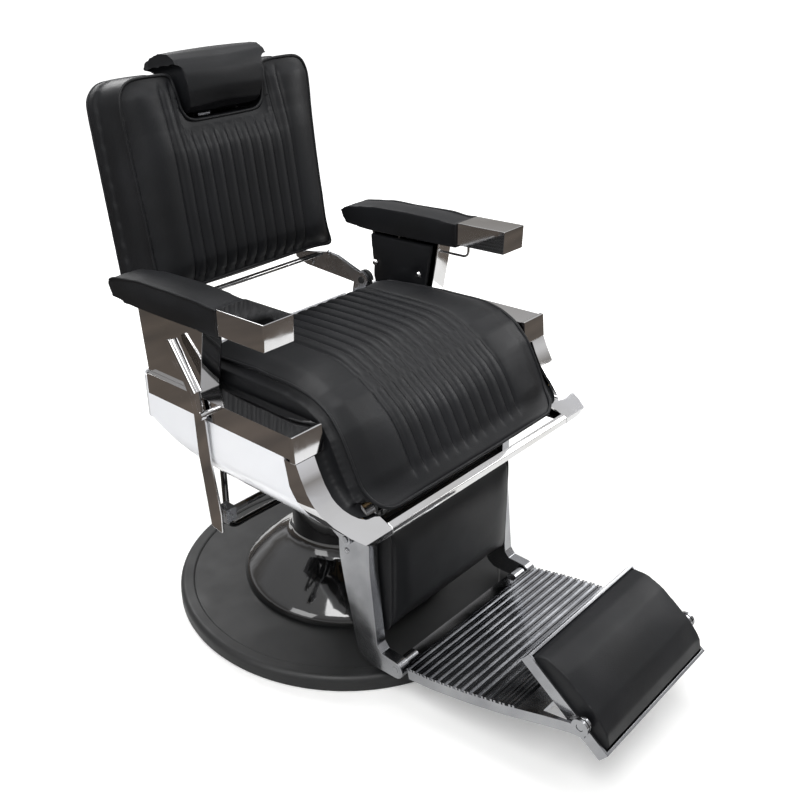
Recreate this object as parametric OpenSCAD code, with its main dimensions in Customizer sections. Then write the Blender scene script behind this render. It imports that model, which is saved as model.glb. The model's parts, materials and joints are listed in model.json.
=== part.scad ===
// Hydraulic barber chair: disc base, pump column, tub-shaped seat body, reclining back with a
// sliding headrest, leg rest that rises with the back, folding ribbed footplate and flip-over foot pad.
// The origin is the centre of the base on the floor. Z is up and the chair faces -Y, so the sitter's
// right side is -X. Parts that come in pairs are drawn on the +X side and mirrored for the right side.

/* [Base] */
// Diameter of the floor plate
base_d = 700; // [660:10:740]
// Diameter of the domed cover where it meets the floor plate
dome_d = 424; // [400:4:440]
// Diameter of the pump neck at the top of the dome
neck_d = 210; // [190:5:220]
// Diameter of the lifting piston
piston_d = 70; // [60:2:76]

/* [Seat body] */
// Width over the outer faces of the tub
tub_w = 684; // [672:2:696]
// Width of the seat cushion
seat_w = 524; // [500:2:536]
// Height of the top of the seat cushion
seat_top = 592; // [584:1:600]
// Height of the chrome side rail strip
rail_h = 40; // [34:1:44]

/* [Arms] */
// Height of the top of the chrome arm cap
cap_top = 726; // [720:1:736]
// Length of the chrome arm cap
cap_len = 112; // [90:2:130]
// Width of the padded part of the arm
pad_w = 70; // [64:1:72]

/* [Back] */
// Width of the back cushion
back_w = 494; // [470:2:500]
// Height of the back along its own face
back_h = 428; // [400:4:450]
// Thickness of the back cushion in front of its board
back_t = 80; // [70:2:90]
// Angle that the back leans rearwards at rest, in degrees
back_lean = 8.5; // [6:0.5:10]
// Width of the notch that the head pillow sits in
notch_w = 212; // [200:2:220]

/* [Leg rest] */
// Distance between the inner faces of the two cast leg arms
leg_gap = 366; // [362:1:370]
// Thickness of a cast leg arm
leg_arm_t = 22; // [16:1:22]
// Number of paired ribs across the footplate
rib_count = 14; // [8:1:16]
// Width of the flip-over foot pad
foot_pad_w = 320; // [290:2:324]

/* [Hidden] */
$fn = 64;

// Pivots, as [y, z] in the chair's side view
back_pivot = [134, 580];
leg_pivot = [-235, 352];
crank = [20.5, -56.4];
foot_pivot = [-317, 66];
lift_pivot = [-45, 336];
recline_pivot = [-46, 541];

// Radii shared by pins and the holes that turn on them
pin_r = 8;
rod_r = 6;
lever_pin_r = 5;
running_gap = 0.05;

// Planes in X that the moving plates keep to
frame_x = [170, 178];
bracket_x = [216, 224];
upright_x = [227, 235];
link_x = [207.5, 213.5];
leg_arm_x = [leg_gap / 2, leg_gap / 2 + leg_arm_t];
wall_x = [283, 291];
tub_x = tub_w / 2;
skin_t = 6;
rail_w = 62;

// Heights in the seat body
rail_top = 552;
rail_bottom = rail_top - rail_h;
board_top = 538;
board_t = 10;
beam_z = [395, 430];
base_top = 34;
cylinder_top = 235;

// Slopes of the footplate and of the foot pad at rest, in degrees
plate_slope = 12;
pad_slope = 37;

// Foot pad's pivot in the footplate's own axes, and the same point in the chair's side view
pad_on_plate = [-346, 2];
pad_pivot = foot_pivot + [pad_on_plate[0] * cos(plate_slope) + pad_on_plate[1] * sin(plate_slope),
    -pad_on_plate[0] * sin(plate_slope) + pad_on_plate[1] * cos(plate_slope)];

// Draws a side-view outline, given as [y, z] points, between two planes in X
module side_slab(x_pair) {
    translate([x_pair[0], 0, 0])
        rotate([90, 0, 90])
            linear_extrude(x_pair[1] - x_pair[0])
                children();
}

// Draws a front-view outline, given as [x, z] points, between two planes in Y
module front_slab(y_pair) {
    translate([0, y_pair[1], 0])
        rotate([90, 0, 0])
            linear_extrude(y_pair[1] - y_pair[0])
                children();
}

// Draws its children on the +X side and mirrors them to the -X side
module both_sides() {
    children();
    mirror([1, 0, 0])
        children();
}

// Points of an arc about a centre, for rounded corners in an outline
function arc(centre, r, from, to, steps = 6) =
    [for (i = [0 : steps])
        let (turn = from + (to - from) * i / steps)
            centre + r * [cos(turn), sin(turn)]];

// Moves into the back's own axes: Z along its face, Y through its thickness, origin at the front lower edge
module in_back() {
    translate([0, 233, 628])
        rotate([-back_lean, 0, 0])
            children();
}

// Moves into the footplate's own axes: -Y runs out along the plate from its hinge
module in_plate() {
    translate([0, foot_pivot[0], foot_pivot[1]])
        rotate([-plate_slope, 0, 0])
            children();
}

// Moves into the foot pad's own axes: +Y runs up the pad from its pivot, +Z out of the cushion
module in_foot_pad() {
    translate([0, pad_pivot[0], pad_pivot[1]])
        rotate([pad_slope, 0, 0])
            children();
}

// A cylinder along X between two planes, about a [y, z] centre
module cross_pin(centre, r, x_pair) {
    translate([x_pair[0], centre[0], centre[1]])
        rotate([0, 90, 0])
            cylinder(h = x_pair[1] - x_pair[0], r = r);
}

// Quarter bend of a round rod, from straight down to sideways, from its centre's -X side to below it
module elbow(bend_r, tube_r) {
    rotate([90, 0, 0])
        rotate([0, 0, 180])
            rotate_extrude(angle = 90, $fn = 48)
                translate([bend_r, 0])
                    circle(r = tube_r, $fn = 32);
}

// ---- base ----

// Floor plate: slightly domed on top, with the bolts' holes and a ribbed recess cast in its underside
module base_plate() {
    plate_r = base_d / 2 - 30;
    hub_r = 150;
    edge_z = 28;
    boss_r = 110;
    land_w = 16;
    recess_z = 21;
    rib_w = 12;
    color("dimgray")
        difference() {
            rotate_extrude($fn = 128)
                polygon([[0, 0], [plate_r, 0], [plate_r, edge_z], [hub_r, base_top], [0, base_top]]);
            bolt_holes(-1, base_top + 1);
            difference() {
                rotate_extrude($fn = 128)
                    polygon([[boss_r, -1], [plate_r - land_w, -1], [plate_r - land_w, recess_z],
                        [boss_r, recess_z]]);
                for (i = [0 : 5])
                    rotate([0, 0, 30 + i * 60])
                        translate([0, -rib_w / 2, -2])
                            cube([plate_r, rib_w, recess_z + 4]);
            }
        }
}

// Raised moulding round the edge of the floor plate
module base_rim() {
    inner_r = base_d / 2 - 30;
    outer_r = base_d / 2;
    corner_r = 12;
    color("black")
        rotate_extrude($fn = 128)
            polygon(concat([[inner_r, 0], [outer_r - 3, 0], [outer_r, 4]],
                arc([outer_r - corner_r, 20], corner_r, 0, 90),
                [[inner_r + 4, base_top - 2], [inner_r, base_top - 5]]));
}

// Bell-shaped cover, a thin shell from the floor plate up to the pump neck
module base_dome() {
    foot_r = dome_d / 2;
    neck_r = neck_d / 2;
    shell_t = 3;
    outer = [[foot_r, base_top], [foot_r, base_top + 8], [foot_r - 10, 56], [foot_r - 34, 76],
        [foot_r - 62, 98], [neck_r + 14, 118], [neck_r + 3, 134], [neck_r, 150], [neck_r, 205]];
    color("black")
        rotate_extrude($fn = 128)
            polygon(concat(outer, [[neck_r - shell_t, 205]],
                [for (i = [7 : -1 : 0]) outer[i] - [shell_t + 1, i == 0 ? 0 : 2]]));
}

// Pump body: a deep cylinder on a foot flange, bored for the piston
module pump_cylinder() {
    wall = 12;
    flange_r = 95;
    flange_t = 14;
    floor_t = 20;
    color("black")
        difference() {
            union() {
                translate([0, 0, base_top])
                    cylinder(h = flange_t, r = flange_r);
                translate([0, 0, base_top])
                    cylinder(h = cylinder_top - base_top, r = piston_d / 2 + wall);
            }
            translate([0, 0, base_top + floor_t])
                cylinder(h = cylinder_top, r = piston_d / 2 + running_gap);
            bolt_holes(base_top - 1, base_top + flange_t + 1);
        }
}

// Wiper seal on top of the cylinder
module pump_seal() {
    seal_h = 6;
    color("black")
        translate([0, 0, cylinder_top])
            difference() {
                cylinder(h = seal_h, r = piston_d / 2 + 8);
                translate([0, 0, -1])
                    cylinder(h = seal_h + 2, r = piston_d / 2 + running_gap);
            }
}

bolt_circle_r = 80;
bolt_r = 5;
bolt_count = 6;

// Holes for the bolts that hold the pump to the floor plate
module bolt_holes(from_z, to_z) {
    for (i = [0 : bolt_count - 1])
        rotate([0, 0, i * 360 / bolt_count])
            translate([bolt_circle_r, 0, from_z])
                cylinder(h = to_z - from_z, r = bolt_r, $fn = 32);
}

// Hexagon bolts through the pump flange
module base_bolts() {
    head_h = 6;
    flange_top = base_top + 14;
    color("silver")
        for (i = [0 : bolt_count - 1])
            rotate([0, 0, i * 360 / bolt_count])
                translate([bolt_circle_r, 0, 0]) {
                    translate([0, 0, 6])
                        cylinder(h = flange_top - 6, r = bolt_r, $fn = 32);
                    translate([0, 0, flange_top])
                        cylinder(h = head_h, r = 9, $fn = 6);
                }
}

// ---- lifting column ----

spigot_r = 25;
spigot_top = 350;

// Piston with the swivel spigot turned on its upper end
module piston_column() {
    piston_bottom = 62;
    shoulder_z = 262;
    color("silver") {
        translate([0, 0, piston_bottom])
            cylinder(h = shoulder_z - piston_bottom, r = piston_d / 2);
        translate([0, 0, shoulder_z])
            cylinder(h = spigot_top - shoulder_z, r = spigot_r);
    }
}

// Thrust ring that the seat turns on
module swivel_ring() {
    color("goldenrod")
        translate([0, 0, 262])
            difference() {
                cylinder(h = 6, r = piston_d / 2);
                translate([0, 0, -1])
                    cylinder(h = 8, r = spigot_r + running_gap);
            }
}

// ---- seat structure ----

// Swivel socket under the seat, with its top plate and the pump's valve block
module seat_mount() {
    flange_r = 56;
    socket_r = 44;
    socket_bottom = 268.3;
    plate_t = 8;
    plate_half_y = 100;
    plate_half_x = 178;
    color("dimgray")
        difference() {
            union() {
                translate([0, 0, socket_bottom])
                    cylinder(h = beam_z[0] - socket_bottom, r = socket_r);
                translate([0, 0, socket_bottom])
                    cylinder(h = 20, r = flange_r);
                translate([-plate_half_x, -plate_half_y, beam_z[0] - plate_t])
                    cube([2 * plate_half_x, 2 * plate_half_y, plate_t]);
                translate([-70, lift_pivot[0] - 22, lift_pivot[1] - 22])
                    cube([50, 44, beam_z[0] - lift_pivot[1] + 10]);
            }
            translate([0, 0, socket_bottom - 1])
                cylinder(h = spigot_top - socket_bottom + 3, r = spigot_r + running_gap);
            cross_pin(lift_pivot, rod_r + running_gap, [-71, -50]);
        }
}

// Two tall side plates of the seat frame, each with its hanger for the leg rest
module seat_frame() {
    hanger_r = 18;
    rear_y = 92;
    front_y = leg_pivot[0] - hanger_r;
    outline = concat([[rear_y, beam_z[1]], [rear_y, board_top - board_t], [-205, board_top - board_t],
        [front_y, 446]],
        arc(leg_pivot, hanger_r, 180, 360, 10),
        [[leg_pivot[0] + hanger_r, beam_z[1]]]);
    color("dimgray")
        both_sides() {
            side_slab(frame_x)
                polygon(outline);
            cross_pin(leg_pivot, pin_r, [frame_x[1], leg_arm_x[1]]);
        }
}

// Cross beams of the seat frame, from one side wall to the other
module seat_beams() {
    front_y = [-205, -172];
    rear_y = [55, 88];
    color("dimgray")
        for (y_pair = [front_y, rear_y])
            translate([-wall_x[0], y_pair[0], beam_z[0]])
                cube([2 * wall_x[0], y_pair[1] - y_pair[0], beam_z[1] - beam_z[0]]);
}

// Board under the cushion, bent down behind the rounded front
module seat_board() {
    half_w = seat_w / 2 - 26;
    rear_y = 84;
    color("burlywood")
        side_slab([-half_w, half_w])
            polygon([[rear_y, board_top - board_t], [rear_y, board_top], [-200, board_top], [-228, 512],
                [-276, 424], [-285, 424], [-285, 418], [-272, 418], [-236, 484],
                [-205, board_top - board_t]]);
}

// Seat cushion: a fluted top with a deep rounded front, side boxing down beside the rails, and the two
// padded cheeks that fill the tub behind its chrome band
module seat_cushion() {
    half_w = seat_w / 2;
    t = seat_top;
    low = t - 180;
    corner_r = 46;
    boxing_half = half_w + 13.5;
    cheek_x = [half_w - 7, half_w + 44];
    cheek_r = 30;
    cheek_low = 404;
    under = [[-290, 430], [-278, 429], [-231, 515], [-202, board_top + 0.3]];
    color("black") {
        intersection() {
            side_slab([-half_w, half_w])
                polygon(concat([[97, board_top + 0.3], [109, t - 20], [104, t - 8], [80, t - 2], [-60, t],
                    [-150, t - 2], [-198, t - 9], [-232, t - 24], [-260, t - 58], [-284, t - 106],
                    [-306, t - 150], [-328, t - 170], [-338, t - 175], [-336, low], [-290, low]], under));
            front_slab([-340, 120])
                polygon(concat([[half_w, t + 1], [-half_w, t + 1]],
                    arc([-half_w + corner_r, low + corner_r], corner_r, 180, 270),
                    arc([half_w - corner_r, low + corner_r], corner_r, 270, 360)));
        }
        side_slab([-boxing_half, boxing_half])
            polygon(concat([[97, board_top + 0.3], [104, t - 32], [78, t - 16], [-60, t - 14], [-148, t - 16],
                [-192, t - 23], [-223, t - 37], [-248, t - 68], [-272, t - 116], [-294, t - 152],
                [-306, t - 162]], under));
        both_sides()
            intersection() {
                side_slab(cheek_x)
                    polygon(concat([for (i = [0 : 5]) band_front[i] + [6, -2.6]],
                        [[-330, cheek_low], [-280, cheek_low], [-278.5, 406], [-238.5, 460],
                        [-212.5, rail_bottom - 4.3], [-234, rail_bottom - 4.3]]));
                front_slab([-350, -220])
                    polygon(concat([[cheek_x[1], rail_bottom], [cheek_x[0], rail_bottom],
                        [cheek_x[0], cheek_low]],
                        arc([cheek_x[1] - cheek_r, cheek_low + cheek_r], cheek_r, 270, 360)));
            }
    }
}

// Inner structural wall of the tub
module side_wall() {
    side_slab(wall_x)
        polygon([[148, rail_bottom], [148, 470], [90, 448], [16, 422], [-30, 406], [-268, 402], [-276, 406],
            [-236, 460], [-208, rail_bottom]]);
}

module side_wall_l() {
    color("dimgray")
        side_wall();
}

module side_wall_r() {
    color("dimgray")
        mirror([1, 0, 0])
            side_wall();
}

tub_low = 388;
tub_corner_r = 64;

// One half of the tub seen from in front, [x, z] points from an inner plane out to the side, rounded below
function tub_half(inner_x, inset) =
    concat([[inner_x, rail_bottom], [inner_x, tub_low + inset]],
        arc([tub_x - tub_corner_r, tub_low + tub_corner_r], tub_corner_r - inset, 270, 360),
        [[tub_x - inset, rail_bottom]]);

// Skin of one half of the tub, turned in along its lower edge, as a front-view outline
module tub_skin(inner_x, thickness) {
    difference() {
        polygon(tub_half(inner_x, 0));
        polygon(tub_half(inner_x - 1, thickness));
        translate([inner_x - 2, rail_bottom])
            square([tub_x, 10]);
    }
}

// Enamelled outer panel of the tub, cut back in front where the chrome band takes over
module side_panel() {
    inner_x = tub_x - tub_corner_r;
    intersection() {
        side_slab([inner_x, tub_x])
            polygon([[148, rail_bottom], [148, 466], [118, 452], [68, 433], [16, 416], [-27, 403], [-76, 396],
                [-180, 388], [-281, tub_low], [-279, 400], [-255, 418], [-235, 440], [-221, 463],
                [-212, rail_bottom - 5], [-212, rail_bottom]]);
        front_slab([-300, 150])
            tub_skin(inner_x, skin_t);
    }
}

module side_panel_l() {
    color("white")
        side_panel();
}

module side_panel_r() {
    color("white")
        mirror([1, 0, 0])
            side_panel();
}

// Enamelled rear panel that wraps round both rear corners, with two slots for the back's brackets and link
module rear_panel() {
    corner_r = 24;
    rear_y = 172;
    joint_y = 148;
    skin = 4;
    low_z = 462;
    high_z = 548;
    slot_x = 203;
    slot_w = 28;
    slot_bottom = 506;
    outer = concat([[tub_x, joint_y]], arc([tub_x - corner_r, rear_y - corner_r], corner_r, 0, 90),
        arc([-tub_x + corner_r, rear_y - corner_r], corner_r, 90, 180), [[-tub_x, joint_y]]);
    inner = concat([[-tub_x + skin, joint_y]],
        arc([-tub_x + corner_r, rear_y - corner_r], corner_r - skin, 180, 90),
        arc([tub_x - corner_r, rear_y - corner_r], corner_r - skin, 90, 0), [[tub_x - skin, joint_y]]);
    color("white")
        difference() {
            translate([0, 0, low_z])
                linear_extrude(high_z - low_z)
                    polygon(concat(outer, inner));
            both_sides()
                translate([slot_x, joint_y, slot_bottom])
                    cube([slot_w, 40, high_z]);
        }
}

// Chrome rail along the top of the tub, folded from sheet as a box
module side_rail() {
    sheet = 3;
    front_y = -228;
    length = 376;
    difference() {
        translate([tub_x - rail_w, front_y, rail_bottom])
            cube([rail_w, length, rail_h]);
        translate([tub_x - rail_w + sheet, front_y - 1, rail_bottom + sheet])
            cube([rail_w - 2 * sheet, length - sheet, rail_h - 2 * sheet]);
    }
}

module side_rail_l() {
    color("silver")
        side_rail();
}

// The right rail is bored for the recline lever's pin
module side_rail_r() {
    color("silver")
        mirror([1, 0, 0])
            difference() {
                side_rail();
                cross_pin(recline_pivot, lever_pin_r + running_gap, [tub_x - 5, tub_x + 1]);
            }
}

// Chrome end cap on the front of a rail, a little larger than the rail
module rail_cap() {
    overlap = 2;
    side_slab([tub_x - rail_w - overlap, tub_x + overlap])
        polygon([[-228, rail_bottom - 4], [-228, rail_top + overlap], [-236, rail_top + overlap],
            [-240, rail_bottom - 4]]);
}

module rail_cap_l() {
    color("silver")
        rail_cap();
}

module rail_cap_r() {
    color("silver")
        mirror([1, 0, 0])
            rail_cap();
}

// Front edge of the tub in side view, from under the rail cap down to the toe
band_front = [[-240, 508], [-249, 487], [-261, 464], [-277, 444], [-296, 428], [-318, 414], [-340, 405],
    [-356, 398], [-356, 388]];
band_rear = [[-290, 388], [-280, 400], [-256, 418], [-236, 440], [-222, 463], [-213, 507], [-213, 508]];

bar_half = 250;

// Chrome band: a side strip and a front face, curving from the rail down and round into the front bar
module front_band() {
    face_w = 40;
    face_t = 5;
    bar_h = 23;
    inner_r = 36;
    inner_x = tub_x - face_w;
    intersection() {
        side_slab([bar_half, tub_x])
            polygon(concat(band_front, band_rear));
        front_slab([-360, -200])
            tub_skin(bar_half, skin_t);
    }
    intersection() {
        side_slab([bar_half, tub_x])
            polygon(concat(band_front, [for (i = [8 : -1 : 0]) band_front[i] + [face_t, i == 8 ? 0 : -2]]));
        front_slab([-360, -200])
            difference() {
                polygon(tub_half(bar_half, 0));
                polygon(concat([[bar_half - 1, rail_bottom + 1], [bar_half - 1, tub_low + bar_h]],
                    arc([inner_x - inner_r, tub_low + bar_h + inner_r], inner_r, 270, 360),
                    [[inner_x, rail_bottom + 1]]));
            }
    }
}

module front_band_l() {
    color("silver")
        front_band();
}

module front_band_r() {
    color("silver")
        mirror([1, 0, 0])
            front_band();
}

// Chrome bar under the front of the cushion, between the two bands
module front_bar() {
    color("silver")
        side_slab([-bar_half, bar_half])
            polygon([[-356, 400], [-356, 388], [-345, 388], [-345, 405]]);
}

// ---- arms ----

cover_x = [290, 332];
cover_outline = [[155, rail_top], [167, 672], [-18, 672], [4, rail_top]];

// Chrome arm support, a box open towards the seat
module arm_cover() {
    sheet = 3;
    difference() {
        side_slab(cover_x)
            polygon(cover_outline);
        side_slab([cover_x[0] - 1, cover_x[1] - sheet])
            polygon([[150, rail_top + sheet], [161, 672 - sheet], [-14, 672 - sheet], [7, rail_top + sheet]]);
    }
}

module arm_cover_l() {
    color("silver")
        arm_cover();
}

module arm_cover_r() {
    color("silver")
        mirror([1, 0, 0])
            arm_cover();
}

// Upholstered panel that closes the arm support on the seat side
module arm_lining() {
    side_slab([cover_x[0] - 14, cover_x[0]])
        polygon([[153, rail_top + 2], [164, 668], [-8, 668], [12, rail_top + 2]]);
}

module arm_lining_l() {
    color("black")
        arm_lining();
}

module arm_lining_r() {
    color("black")
        mirror([1, 0, 0])
            arm_lining();
}

// Arm pad, crowned along its length with a rounded rear end
module arm_pad() {
    side_slab([tub_x - pad_w, tub_x])
        polygon([[-72, 674], [100, 673], [170, 672.5], [232, 678], [246, 688], [250, 702], [244, 714],
            [225, 721], [150, 730], [60, 733], [-20, 730], [-72, 726]]);
}

module arm_pad_l() {
    color("black")
        arm_pad();
}

module arm_pad_r() {
    color("black")
        mirror([1, 0, 0])
            arm_pad();
}

// Chrome box that ends the arm, folded from sheet and open towards the pad
module arm_cap() {
    cap_h = 46;
    rear_y = -72;
    sheet = 3;
    low = cap_top - cap_h;
    front_y = rear_y - cap_len;
    difference() {
        side_slab([tub_x - 64, tub_x])
            polygon([[rear_y, low], [rear_y, cap_top], [front_y, cap_top], [front_y + 2, low]]);
        side_slab([tub_x - 64 + sheet, tub_x - sheet])
            polygon([[rear_y + 1, low + sheet], [rear_y + 1, cap_top - sheet],
                [front_y + sheet, cap_top - sheet], [front_y + 2 + sheet, low + sheet]]);
    }
}

module arm_cap_l() {
    color("silver")
        arm_cap();
}

module arm_cap_r() {
    color("silver")
        mirror([1, 0, 0])
            arm_cap();
}

// Dome-headed screws on the inner face of each lining
module arm_screws() {
    head_x = cover_x[0] - 14;
    color("silver")
        both_sides()
            for (place = [[26, 598], [146, 602]])
                translate([head_x, place[0], place[1]])
                    rotate([0, -90, 0])
                        cylinder(h = 4, r1 = 7, r2 = 4.5, $fn = 32);
}

wire_r = 2.5;
wire_x = 300;

// Bent wire under the left arm cap, for a towel
module towel_wire() {
    drop_y = -84;
    low_z = 652;
    bend_r = 12;
    color("silver") {
        translate([wire_x, drop_y, low_z + bend_r])
            cylinder(h = cap_top - 46 - low_z - bend_r, r = wire_r, $fn = 32);
        translate([wire_x, drop_y + bend_r, low_z + bend_r])
            rotate([0, 0, 90])
                elbow(bend_r, wire_r);
        translate([wire_x, drop_y + bend_r, low_z])
            rotate([-90, 0, 0])
                cylinder(h = 62, r = wire_r, $fn = 32);
    }
}

// ---- back hinge and mechanism on the seat ----

// Plates that carry the back's pivots, standing on the rear beam
module pivot_uprights() {
    color("dimgray")
        both_sides() {
            side_slab(upright_x)
                polygon(concat([[56, beam_z[1]], [87, beam_z[1]], [154, 500]],
                    arc(back_pivot, 20, 0, 180, 10), [[118, 580], [118, 526]]));
            cross_pin(back_pivot, pin_r, [link_x[1] + 1, upright_x[0]]);
        }
}

// Bent guard rod from the tub down under the pump shaft and across to the socket
module pump_rod() {
    drop_x = -296.5;
    low_z = 262;
    boss_h = 268.3 - low_z + rod_r;
    bend_r = 24;
    y = 6;
    color("black") {
        translate([drop_x, y, low_z + bend_r])
            cylinder(h = 440 - low_z - bend_r, r = rod_r, $fn = 32);
        translate([drop_x + bend_r, y, low_z + bend_r])
            elbow(bend_r, rod_r);
        translate([drop_x + bend_r, y, low_z])
            rotate([0, 90, 0])
                cylinder(h = -drop_x - bend_r - 40, r = rod_r, $fn = 32);
        translate([-44, y, low_z - rod_r])
            cylinder(h = boss_h, r = 9, $fn = 32);
    }
}

lock_x = 100;
lock_z = 500;

// Hydraulic cylinder that locks the back, clamped to the frame
module lock_barrel() {
    barrel_r = 13;
    rear_y = 20;
    front_y = -150;
    color("silver")
        difference() {
            union() {
                translate([lock_x, rear_y, lock_z])
                    rotate([90, 0, 0])
                        cylinder(h = rear_y - front_y, r = barrel_r);
                translate([lock_x, front_y, lock_z - 12])
                    cube([frame_x[0] - lock_x, 30, 24]);
            }
            translate([lock_x, rear_y + 1, lock_z])
                rotate([90, 0, 0])
                    cylinder(h = rear_y - front_y - 2, r = 5 + running_gap);
        }
}

// ---- back ----

// Side brackets: a pivot eye, a crank down to the torque rod and an arm up behind the cushion
module back_brackets() {
    crank_end = back_pivot + crank;
    color("silver")
        both_sides() {
            difference() {
                union() {
                    side_slab(bracket_x)
                        polygon(concat(arc(crank_end, 13, 200, 340, 6), [[156, 572], [300, 584], [334, 596],
                            [336, 610], [311, 612], [232, 624], [205, 621]],
                            arc(back_pivot, 18, 70, 180, 6)));
                    in_back()
                        translate([bracket_x[0], back_t + 1, -6])
                            cube([bracket_x[1] - bracket_x[0], 23, 186]);
                }
                cross_pin(back_pivot, pin_r + running_gap, [bracket_x[0] - 1, bracket_x[1] + 1]);
                cross_pin(crank_end, rod_r, [bracket_x[0] - 1, bracket_x[1] + 1]);
            }
        }
}

// Rod that joins the two brackets and drives the link and the lock
module torque_rod() {
    color("silver")
        cross_pin(back_pivot + crank, rod_r, [-bracket_x[1], bracket_x[1]]);
}

// Board behind the back cushion, slotted for the brackets
module back_board() {
    slot_w = 10;
    board_thick = 25;
    corner_r = 46;
    w = back_w / 2;
    top = back_h - 4;
    color("burlywood")
        in_back()
            difference() {
                translate([0, back_t + board_thick, 0])
                    rotate([90, 0, 0])
                        linear_extrude(board_thick)
                            polygon(concat([[-w, 0], [w, 0]],
                                arc([w - corner_r, top - corner_r], corner_r, 0, 90),
                                arc([-w + corner_r, top - corner_r], corner_r, 90, 180)));
                both_sides()
                    translate([bracket_x[0] - 1, back_t - 1, -1])
                        cube([slot_w, board_thick + 2, 182]);
            }
}

// Back cushion with rounded upper corners, the notch and a pocket for the headrest guide
module back_cushion() {
    corner_r = 46;
    w = back_w / 2;
    notch = notch_w / 2;
    notch_z = back_h - 92;
    color("black")
        in_back()
            difference() {
                translate([0, back_t - 0.3, 0])
                    rotate([90, 0, 0])
                        linear_extrude(back_t - 0.3)
                            polygon(concat([[-w + 8, 0], [w - 8, 0], [w, 8]],
                                arc([w - corner_r, back_h - corner_r], corner_r, 0, 90),
                                [[notch + 8, back_h], [notch, back_h - 14], [notch - 10, notch_z + 4],
                                    [notch - 16, notch_z], [-notch + 16, notch_z], [-notch + 10, notch_z + 4],
                                    [-notch, back_h - 14], [-notch - 8, back_h]],
                                arc([-w + corner_r, back_h - corner_r], corner_r, 90, 180), [[-w, 8]]));
                translate([-23, back_t - 14, 150])
                    cube([46, 20, back_h]);
            }
}

// Sleeve on the board that the headrest bar slides in
module head_guide() {
    color("dimgray")
        in_back()
            difference() {
                translate([-21, back_t - 12, 160])
                    cube([42, 12, 150]);
                translate([-15 - running_gap, back_t - 8.5 - running_gap, 159])
                    cube([30 + 2 * running_gap, 5 + 2 * running_gap, 152]);
            }
}

// ---- headrest ----

// Flat bar of the headrest
module head_bar() {
    color("silver")
        in_back()
            translate([-15, back_t - 8.5, 175])
                cube([30, 5, 235]);
}

// Head pillow: hangs in the notch, tapered like it, and rolls over the top of the back
module head_pad() {
    low_half = notch_w / 2 - 15;
    top_half = notch_w / 2 - 2;
    outer = 117;
    notch_z = back_h - 92;
    color("black")
        in_back()
            difference() {
                union() {
                    intersection() {
                        side_slab([-outer, outer])
                            polygon([[4, notch_z + 3], [-12, notch_z + 14], [-22, notch_z + 45],
                                [-24, notch_z + 80], [-20, back_h + 2], [back_t - 1.5, back_h + 2],
                                [back_t - 1.5, notch_z + 3]]);
                        front_slab([-40, back_t])
                            polygon([[-low_half, notch_z], [low_half, notch_z], [top_half, back_h + 2],
                                [-top_half, back_h + 2]]);
                    }
                    side_slab([-outer, outer])
                        polygon([[-20, back_h + 2], [-12, back_h + 20], [4, back_h + 31], [34, back_h + 35],
                            [66, back_h + 30], [84, back_h + 16], [88, back_h + 2]]);
                }
                translate([-15, back_t - 8.5, 175])
                    cube([30, 5, 235]);
            }
}

// ---- leg rest ----

// Cast leg arm with its pivot eye, heel and foot lug
module leg_arm() {
    eye_r = 26;
    lug_r = 17;
    difference() {
        side_slab(leg_arm_x)
            polygon(concat(arc(leg_pivot, eye_r, 0, 180, 10),
                [[-262, 245], [-268, 178], [-276, 96], [-286, 84]],
                arc(foot_pivot, lug_r, 90, 270, 8),
                [[-270, 46], [-250, 47], [-236, 56], [-226, 75], [-214, 135], [-203, 183], [-191, 248],
                    [-190, 290]]));
        cross_pin(leg_pivot, pin_r + running_gap, [leg_arm_x[0] - 1, leg_arm_x[1] + 1]);
        cross_pin(foot_pivot, rod_r + running_gap, [leg_arm_x[0] - 1, leg_arm_x[1] + 1]);
    }
}

module leg_arm_l() {
    color("lightgray")
        leg_arm();
}

// The right leg arm also carries the pin of the recline link
module leg_arm_r() {
    color("lightgray")
        mirror([1, 0, 0]) {
            leg_arm();
            cross_pin(leg_pivot + crank, rod_r, [leg_arm_x[1], link_x[1] + 2]);
        }
}

calf_z = [102, 326];

// Steel tray that the calf pad is screwed to, with its two cross tubes
module leg_board() {
    half_w = leg_gap / 2;
    color("dimgray") {
        translate([-half_w, -250, calf_z[0] + 4])
            cube([leg_gap, 10, calf_z[1] - calf_z[0] - 8]);
        for (z = [130, 270])
            translate([-half_w, -240, z])
                cube([leg_gap, 16, 24]);
    }
}

// Calf pad between the two leg arms
module calf_pad() {
    half_w = leg_gap / 2 - 1.5;
    low = calf_z[0];
    high = calf_z[1];
    color("black")
        side_slab([-half_w, half_w])
            polygon([[-250.3, low], [-276, low], [-284, low + 6], [-288, low + 20], [-288, high - 20],
                [-284, high - 6], [-276, high], [-250.3, high]]);
}

// ---- footplate and foot pad ----

plate_w = 200;

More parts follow.
